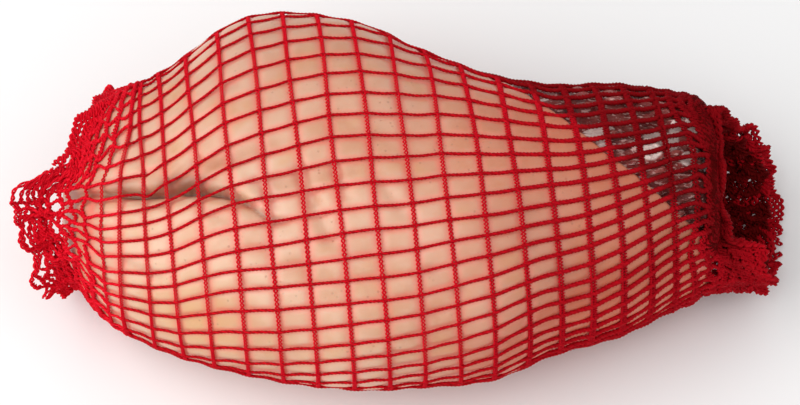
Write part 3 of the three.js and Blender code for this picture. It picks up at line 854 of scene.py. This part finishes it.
def lean_material(hock):
    """Dark moist lean meat with white fat: fibres, and painted highlights as pale wet glints along the hock,
    fat where the fat value of the mesh and a noise agree."""
    material, tree, bsdf = shader(
        "lean meat",
        Subsurface_Weight=0.1, Subsurface_Radius=(0.004, 0.001, 0.001), Subsurface_Scale=0.5,
        Coat_Weight=0.15, Coat_Roughness=0.1, Specular_IOR_Level=0.3,
    )
    place = object_place(tree)
    run = along_hock(place)
    drawn = add(tree, "Mapping", Vector=place, Scale=(0.45, 1.3, 1.3)).outputs[0]
    broad = mottled(place, 55.0, 0.4, 0.62)
    fibres = mottled(drawn, 330.0, 0.42, 0.66)
    wet = mottled(drawn, 780.0, 0.55, 0.63)
    colour = mixed(broad["Mask"], hock.lean_dark, hock.lean_red)
    colour = mixed(scaled(fibres["Mask"], 0.5), colour, hock.lean_bright)
    # Painted highlights: small pale glints of a wet surface, fewer at the lean end's tip.
    glints = scaled(wet["Mask"], ramp(run, 0.092, 0.1, 0.75, 0.2))
    colour = mixed(glints, colour, hock.lean_glint)
    veins = mottled(drawn, 95.0, 0.6, 0.66)
    fat = maths("ADD", attribute(tree, "fat"), scaled(veins["Mask"], 0.42))
    edge = scaled(maths("SUBTRACT", broad["Height"], 0.5), 1.4)
    fat = ramp(maths("ADD", fat, edge), 0.36, 0.52)
    colour = mixed(fat, colour, hock.fat)
    feed(bsdf.inputs["Roughness"], ramp(fibres["Height"], 0.3, 0.7, 0.12, 0.3))
    relief = maths("ADD", fibres["Height"], scaled(wet["Height"], 0.8))
    dress(bsdf, colour, relief, 1.0, 0.0018)
    return material


def yarn_material(name, net, light, dark, stripes=3.0, slanting=0.7, hollow=False):
    """Red yarn: fibres lighter than the grooves between them, with painted shade in the grooves,
    darker towards the lean end with soaking and painted shade, darker again on the lean meat past
    the rind's cut where juice soaks it, and painted near black as shade in the hollow."""
    material, tree, bsdf = shader(name, Roughness=0.7, Specular_IOR_Level=0.06)
    # In the hollow the lean-end colour is the painted shade colour.
    lean_end_dark = net.yarn_juice_and_hollow_shade if hollow else net.yarn_soaked_and_shaded
    fibre = use_group(tree, FIBRES, Stripes=stripes, Slant=slanting)
    place = object_place(tree)
    run = along_hock(place)
    broad = mottled(place, 40.0, 0.35, 0.65)
    # Painted shade: the grooves between the fibres darker than the lit fibres.
    colour = mixed(fibre["Mask"], dark, light)
    colour = mixed(scaled(broad["Mask"], 0.25), colour, dark)
    # Darker towards the lean end: soaking, with painted shade on that side.
    colour = mixed(ramp(run, -0.02, 0.11, 0.0, 0.9), colour, lean_end_dark)
    dot = {"operation": "DOT_PRODUCT"}
    past_cut = add(tree, "VectorMath", dot, i0=place, i1=tuple(RIND_CUT)).outputs["Value"]
    cut = RIND_CUT_DISTANCE * MM
    past_cut = ramp(past_cut, cut, cut + 0.004)
    wet = scaled(past_cut, ramp(run, 0.102, 0.114, 0.6, 0.0))
    colour = mixed(wet, colour, net.yarn_juice_and_hollow_shade)
    dress(bsdf, colour, fibre["Height"], 0.6, 0.0003)
    return material


# ---- what a user would change


def measure(name, description, default, **kind):
    return FloatProperty(name=name, description=description, default=default, **kind)


def shade(name, description, default):
    return FloatVectorProperty(
        name=name, description=description, subtype="COLOR", size=3, min=0, max=1, default=default
    )


class HockSettings(bpy.types.PropertyGroup):
    bulge: measure("Bulge", "Height in mm of the rind between the threads", 0.5)
    fold: measure("Fold depth", "Depth in mm of the fold at the shank end", 7.0)
    rind_pale: shade("Pale rind", "Lightest rind", (0.79, 0.515, 0.365))
    rind_pink: shade("Pink rind", "Rind with blood near it", (0.68, 0.36, 0.22))
    rind_yellow: shade("Yellow rind", "Rind over fat", (0.7, 0.38, 0.16))
    # Redder rind towards the lean end, also the colour of painted shade and painted bounce light.
    rind_ruddy_and_shade: shade("Ruddy rind", "Rind towards the lean end", (0.56, 0.135, 0.062))
    # Painted red glow of light bounced off the yarn beside the threads.
    rind_yarn_glow: shade("Pressed rind", "Rind beside the threads", (0.92, 0.24, 0.18))
    # Painted shade deep in the fold and its recesses.
    rind_fold_shade: shade("Folded rind", "Rind deep in its fold", (0.22, 0.075, 0.04))
    rind_pore: shade("Pores", "Hair pores of the rind", (0.3, 0.13, 0.08))
    lean_dark: shade("Dark lean", "Darkest lean meat", (0.11, 0.012, 0.012))
    lean_red: shade("Red lean", "Common lean meat", (0.3, 0.035, 0.03))
    lean_bright: shade("Bright lean", "Fibres of the lean meat", (0.5, 0.15, 0.12))
    # Painted highlight: pale wet glints on the lean meat.
    lean_glint: shade("Fleck", "Wet flecks of the lean meat", (0.85, 0.5, 0.46))
    fat: shade("Fat", "White fat in the lean meat", (0.95, 0.72, 0.66))


class NetSettings(bpy.types.PropertyGroup):
    hoop_radius: measure("Strand radius", "Hoop strand, mm", 0.3)
    hoop_lateral: measure("Stitch width", "Half the swing, mm", 0.5)
    hoop_height: measure("Stitch height", "Half the swing, mm", 0.2)
    thread_radius: measure("Thread radius", "Lengthwise, mm", 0.56)
    twist_pitch: measure("Twist", "Length of a turn, mm", 2.4)
    stitches: IntProperty(name="Stitches", description="Stitches in a hoop", default=126)
    yarn_light: shade("Hoop yarn", "Lit yarn of the hoops", (0.92, 0.013, 0.036))
    # Painted shade in the grooves of the hoops' yarn.
    yarn_groove_shade: shade("Hoop grooves", "Grooves of the hoops' yarn", (0.67, 0.001, 0.009))
    thread_light: shade("Thread yarn", "Lit lengthwise yarn", (0.66, 0.003, 0.012))
    # Painted shade in the grooves of the lengthwise yarn.
    thread_groove_shade: shade("Thread grooves", "Grooves of that yarn", (0.36, 0.002, 0.006))
    # Darker yarn towards the lean end: soaking, with painted shade.
    yarn_soaked_and_shaded: shade("Soaked yarn", "Yarn by the lean meat", (0.4, 0.002, 0.008))
    # Painted shade of the yarn inside the open end, also the yarn darkened by juice on the lean meat.
    yarn_juice_and_hollow_shade: shade("Deep yarn", "Yarn inside the open end", (0.12, 0.0006, 0.001))


class StageSettings(bpy.types.PropertyGroup):
    elevation: measure("Elevation", "Camera above the horizon", np.radians(62), subtype="ANGLE")
    distance: measure("Distance", "Camera to hock", 0.9, unit="LENGTH")
    width: measure("Width", "Width in view", 0.256, unit="LENGTH")
    key_power: measure("Key light", "Watts", 12.2)
    fill_power: measure("Fill light", "Watts", 3.0)
    sky: measure("Sky", "Strength of the even light", 0.5)


# ---- operators


class HOCK_OT_rind(bpy.types.Operator):
    """Make the rind, from the shank end to the slanting cut"""

    bl_idname = "hock.rind"
    bl_label = "Rind"

    def execute(self, context):
        hock = context.scene.hock
        around = THREADS * 9
        u = np.arange(around) / around
        rows = np.concatenate([shank_rows(34), np.linspace(SHANK_START - 1, LEAN_POLE, 172)[1:]])
        joint = -20.0  # from here on the rows are drawn towards the slanting cut
        stretch = (rind_end(u) - joint) / (LEAN_POLE - joint)
        x = np.where(rows[:, None] > joint, joint + (rows[:, None] - joint) * stretch, rows[:, None])
        share = np.broadcast_to(u, x.shape)
        d = crease_distance(x, share)
        pulled = 1.7 * bell(d, 3.4) * np.interp(x, CREASE_X, CREASE_STRENGTH, right=0)
        pulled = np.where(d > -1.5, pulled, pulled * 0.6)
        height = rind_height(x, share, hock.bulge, hock.fold)
        fade = smooth((x - SHANK_POLE) / 4)
        moved = share - pulled / girth(x)
        skin = surface(x, moved) + (height * fade)[..., None] * outward(x, moved)
        skin[..., 2] = np.maximum(skin[..., 2], RIND_REST)
        edge = [skin]
        for depth, back in ((0.5, -0.35), (1.8, -0.2), (3.2, 0.3)):
            rim_x = x[-1] + back
            edge.append(surface(rim_x, u, depth)[None] + 0.4 * height[-1][None, :, None] * outward(rim_x, u))
        rings = np.concatenate(edge)
        tip = surface(np.array(SHANK_POLE), np.array(0.5))
        points, faces = closed_rings(rings, tip, RIND_CLOSE)
        values = rind_masks(x, share, len(edge) - 1)
        mesh_piece("rind", points, faces, "hock", rind_material(hock), values=values)
        return {"FINISHED"}


class HOCK_OT_lean(bpy.types.Operator):
    """Make the lean meat that stands out of the cut rind"""

    bl_idname = "hock.lean"
    bl_label = "Lean meat"

    # Patches of fat: place along the hock, share of the turn, reach in millimetres.
    FAT = (
        (79.6, 0.528, 4.2), (84, 0.521, 3.6), (77.6, 0.505, 3.2), (93.8, 0.597, 2.6),
        (92.4, 0.562, 2.6), (90.6, 0.489, 3.0), (87, 0.55, 2.2), (46, 0.69, 2.6), (85, 0.72, 3.5),
        (66, 0.8, 5.0), (92, 0.86, 4.0),
    )

    def execute(self, context):
        hock = context.scene.hock
        around = THREADS * 7
        u = np.arange(around)[None, :] / around
        angle = np.linspace(0, np.pi / 2 - 0.06, 16)
        tip = LEAN_START + (LEAN_POLE - LEAN_START) * np.sin(angle)
        rows = np.concatenate([np.linspace(18, 91, 84), tip])[:, None]
        x, share = np.broadcast_arrays(rows, u)
        beyond = surface(x, share) @ RIND_CUT - RIND_CUT_DISTANCE
        sunk = 3.4 - 2.6 * smooth(beyond / 9)
        uneven = 1.5 * lumps(x, share, 21, 26) + 0.9 * lumps(x, share, 22, 8)
        pressed = pillow(x, share) - 0.4
        height = -sunk + (uneven + pressed) * smooth((LEAN_POLE - x) / 5 + 0.3)
        height = np.minimum(height, 0.7)
        meat = surface(x, share) + height[..., None] * outward(x, share)
        meat[..., 2] = np.maximum(meat[..., 2], LEAN_REST)
        points, faces = closed_rings(meat, LEAN_CLOSE, LEAN_TIP)
        fat = np.zeros(x.shape)
        for place, turn, reach in self.FAT:
            away = np.hypot(x - place, ((share - turn + 0.5) % 1 - 0.5) * girth(x))
            fat = np.maximum(fat, bell(away, reach))
        values = {"fat": np.concatenate([fat.ravel(), [0.0, 0.3]])}
        material = lean_material(hock)
        mesh_piece("lean_meat", points, faces, "hock", material, values=values)
        return {"FINISHED"}


class HOCK_OT_hoops(bpy.types.Operator):
    """Make the knitted hoops that lie on the hock"""

    bl_idname = "hock.hoops"
    bl_label = "Hoops"

    def execute(self, context):
        net = context.scene.hock_net
        material = yarn_material("hoop yarn", net, net.yarn_light, net.yarn_groove_shade)
        for name, first in (("hoops_shank", 0), ("hoops_middle", 6), ("hoops_lean", 12)):
            numbers = range(first, first + HOOPS // 3)
            net_piece(name, [hoop_strands(numbers, net, net.stitches, 6)], material)
        return {"FINISHED"}


class HOCK_OT_threads(bpy.types.Operator):
    """Make the lengthwise threads between the two end hoops"""

    bl_idname = "hock.threads"
    bl_label = "Lengthwise threads"

    def execute(self, context):
        net = context.scene.hock_net
        material = yarn_material("thread yarn", net, net.thread_light, net.thread_groove_shade, 2.0, 0.45)
        half = THREADS // 2
        for name, first, last in (("threads_front", 0, half), ("threads_back", half, THREADS)):
            net_piece(name, [lengthwise_threads(0, LAST, 500, net, first, last)], material)
        return {"FINISHED"}


class HOCK_OT_loose_ends(bpy.types.Operator):
    """Make the two ruffled loose ends of the net"""

    bl_idname = "hock.loose_ends"
    bl_label = "Loose ends"

    def execute(self, context):
        net = context.scene.hock_net
        # The inner layer at the lean end is painted near black as shade in the hollow.
        deep = net.yarn_juice_and_hollow_shade
        loose = yarn_material("loose yarn", net, net.yarn_light, net.yarn_groove_shade)
        hollow = yarn_material("painted shade yarn in the hollow", net, deep, deep, hollow=True)
        for name, sign, first, steps, within in (
            ("ruffle_shank", -1, 0, SHANK_STEPS, loose),
            ("ruffle_lean", 1, LAST, LEAN_STEPS, hollow),
        ):
            numbers = [first + sign * k for k in range(1, len(steps) - 1)]
            near, far = numbers[:3], numbers[3:]
            under = numbers[5:] if sign < 0 else far
            outer = [
                hoop_strands(near, net, net.stitches * 2 // 3, 6),
                hoop_strands(far, net, net.stitches // 2, 7),
                hoop_strands(numbers[-1:], net, net.stitches // 2, 9, scallop=sign),
                lengthwise_threads(first, numbers[-1], 110, net),
            ]
            if sign > 0:
                outer.append(hoop_strands(far, net, net.stitches // 2, 7, layer=0.5))
            inner = [
                hoop_strands(under, net, net.stitches // 2, 7, layer=1),
                lengthwise_threads(under[0], under[-1], 60, net, layer=1),
            ]
            net_piece(name + "_outer", outer, loose)
            net_piece(name + "_inner", inner, within)
        return {"FINISHED"}


def light(name, place, size, power):
    lamp = bpy.data.lights.new(name, "AREA")
    lamp.size = size
    lamp.energy = power
    piece = put(name, lamp)
    piece.location = place
    piece.rotation_euler = (-Vector(place)).to_track_quat("-Z", "Y").to_euler()


class HOCK_OT_stage(bpy.types.Operator):
    """Make the floor, the lights and the camera"""

    bl_idname = "hock.stage"
    bl_label = "Stage"

    def execute(self, context):
        stage = context.scene.hock_stage
        mesh = bpy.data.meshes.new("floor")
        corners = [(-3, -3, 0), (3, -3, 0), (3, 3, 0), (-3, 3, 0)]
        mesh.from_pydata(corners, [], [(0, 1, 2, 3)])
        floor = put("floor", mesh)
        pale = (0.97, 0.97, 0.97, 1)
        material = shader("pale floor", Base_Color=pale, Roughness=0.9, Specular_IOR_Level=0.1)[0]
        mesh.materials.append(material)
        world = bpy.data.worlds.new("sky")
        world.use_nodes = True
        background = world.node_tree.nodes["Background"].inputs
        background["Color"].default_value = (1, 1, 1, 1)
        background["Strength"].default_value = stage.sky
        context.scene.world = world
        light("key", (-0.8, -0.25, 0.95), 1.3, stage.key_power)
        light("fill", (0.4, -0.5, 1.1), 1.2, stage.fill_power)
        camera = put("camera", bpy.data.cameras.new("camera"))
        target = Vector((0, 0, 0.0375))
        towards = Vector((0, -np.cos(stage.elevation), np.sin(stage.elevation)))
        camera.location = target + stage.distance * towards
        camera.rotation_euler = (-towards).to_track_quat("-Z", "Y").to_euler()
        camera.data.sensor_width = 36
        camera.data.lens = camera.data.sensor_width * stage.distance / stage.width
        camera.data.clip_end = 20
        context.scene.camera = camera
        context.scene.view_settings.view_transform = "Standard"
        return {"FINISHED"}


class HOCK_PT_panel(bpy.types.Panel):
    """Buttons and sizes of the netted hock"""

    bl_idname = "HOCK_PT_panel"
    bl_label = "Netted hock"
    bl_space_type = "VIEW_3D"
    bl_region_type = "UI"
    bl_category = "Hock"

    def draw(self, context):
        for step in STEPS:
            self.layout.operator(step.bl_idname)
        for settings in (context.scene.hock, context.scene.hock_net, context.scene.hock_stage):
            box = self.layout.box()
            for key in settings.__annotations__:
                box.prop(settings, key)


STEPS = HOCK_OT_stage, HOCK_OT_rind, HOCK_OT_lean, HOCK_OT_hoops, HOCK_OT_threads, HOCK_OT_loose_ends
SETTINGS = {"hock": HockSettings, "hock_net": NetSettings, "hock_stage": StageSettings}


def register():
    for kind in (*SETTINGS.values(), *STEPS, HOCK_PT_panel):
        bpy.utils.register_class(kind)
    for name, kind in SETTINGS.items():
        setattr(bpy.types.Scene, name, PointerProperty(type=kind))


def unregister():
    for name in SETTINGS:
        delattr(bpy.types.Scene, name)
    for kind in reversed((*SETTINGS.values(), *STEPS, HOCK_PT_panel)):
        bpy.utils.unregister_class(kind)


def main():
    register()
    for step in STEPS:
        area, name = step.bl_idname.split(".")
        getattr(getattr(bpy.ops, area), name)()


if __name__ == "__main__":
    main()
